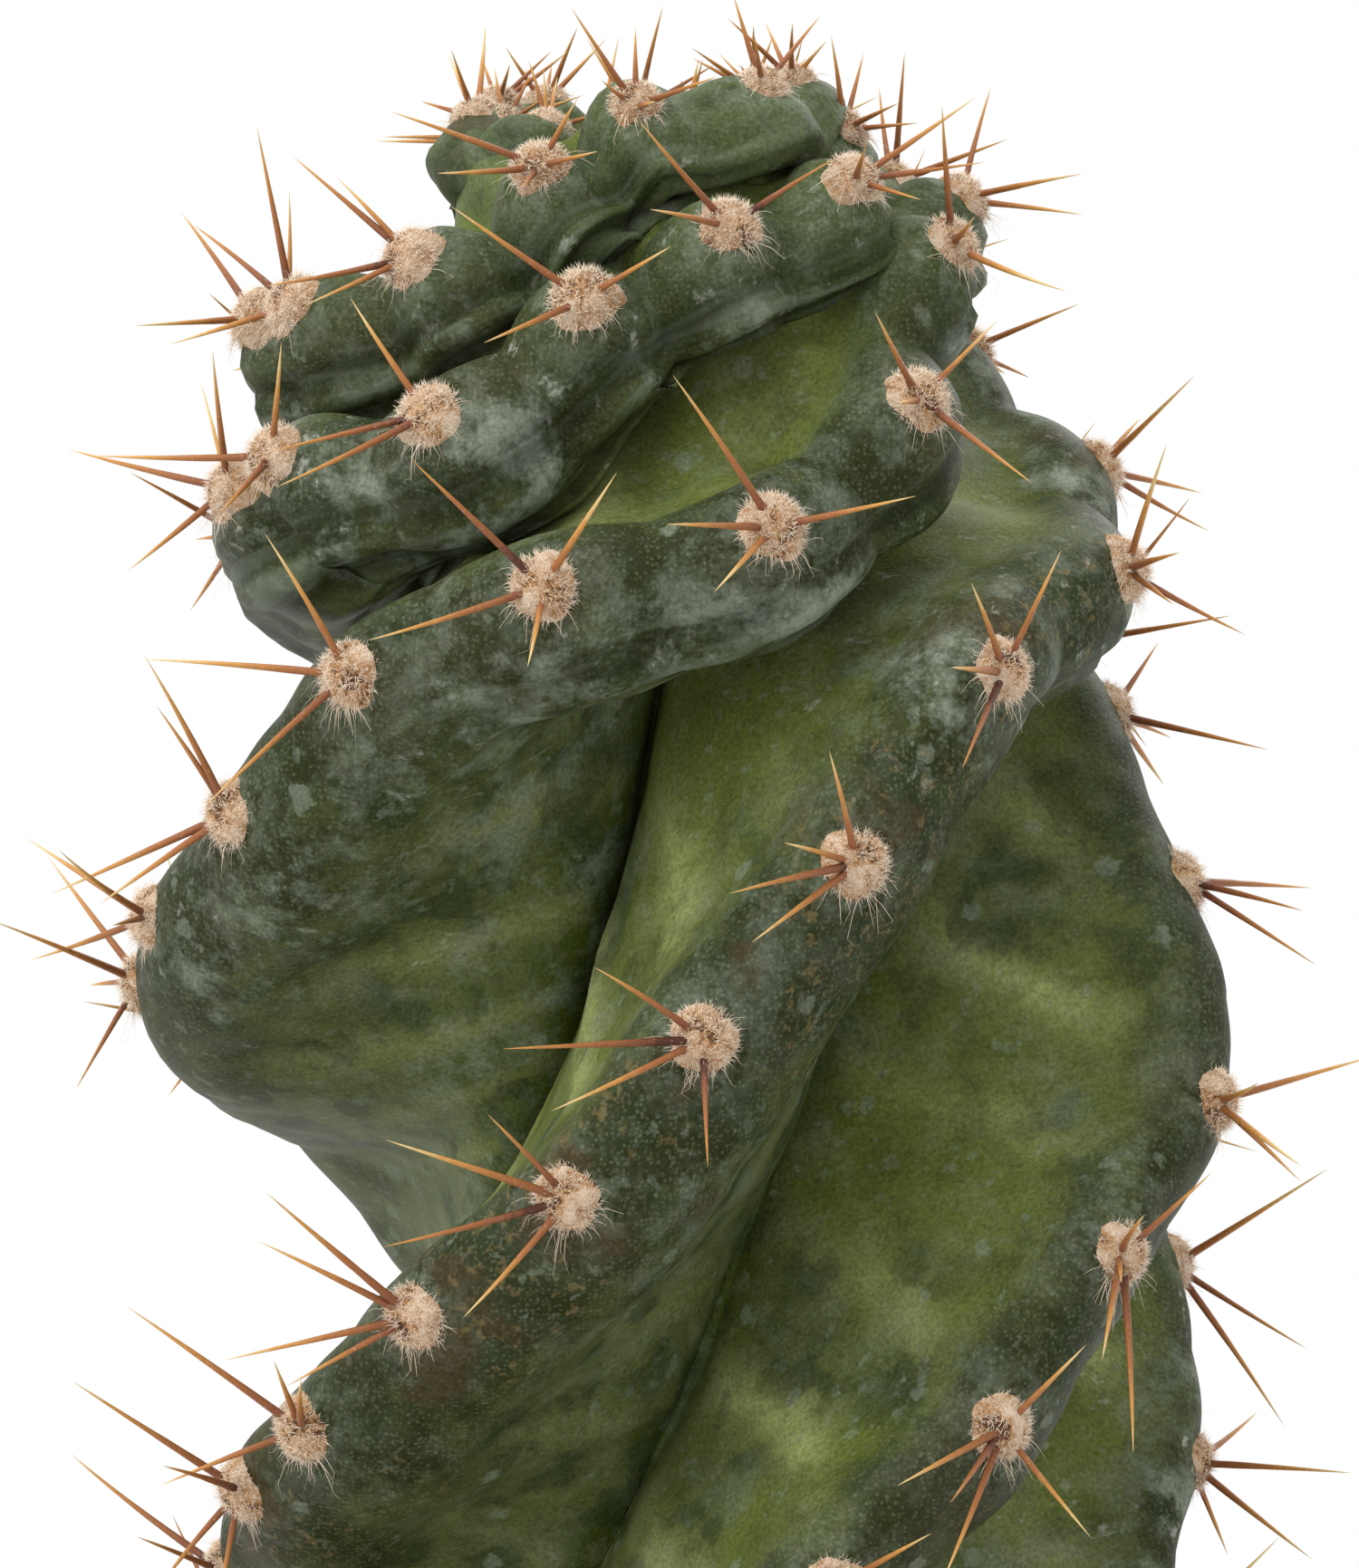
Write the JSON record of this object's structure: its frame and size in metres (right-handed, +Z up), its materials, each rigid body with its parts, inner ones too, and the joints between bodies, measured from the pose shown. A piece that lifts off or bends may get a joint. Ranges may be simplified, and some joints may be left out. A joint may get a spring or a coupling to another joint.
{
  "type": "potted spiral cactus",
  "caption": "Upright columnar cactus whose thick ribs wind round the stem, with felted areoles and long spines along their crests, standing in the soil of a plain round clay pot.",
  "frame": {"origin": "middle of the pot's underside, on the surface that it stands on", "axes": "+Z up along the pot's axis, -Y towards the side that the reference view shows, +X to the right in that view"},
  "size_m": [0.15, 0.15, 0.3404],
  "materials": {
    "clay": "matt unglazed terracotta",
    "soil": "crumbly dark potting mix of bark and peat",
    "plant": "waxy green skin with a pale bloom"
  },
  "bodies": {
    "root": {"pot": "clay", "soil": "soil", "cactus": "plant"}
  },
  "joints": []
}
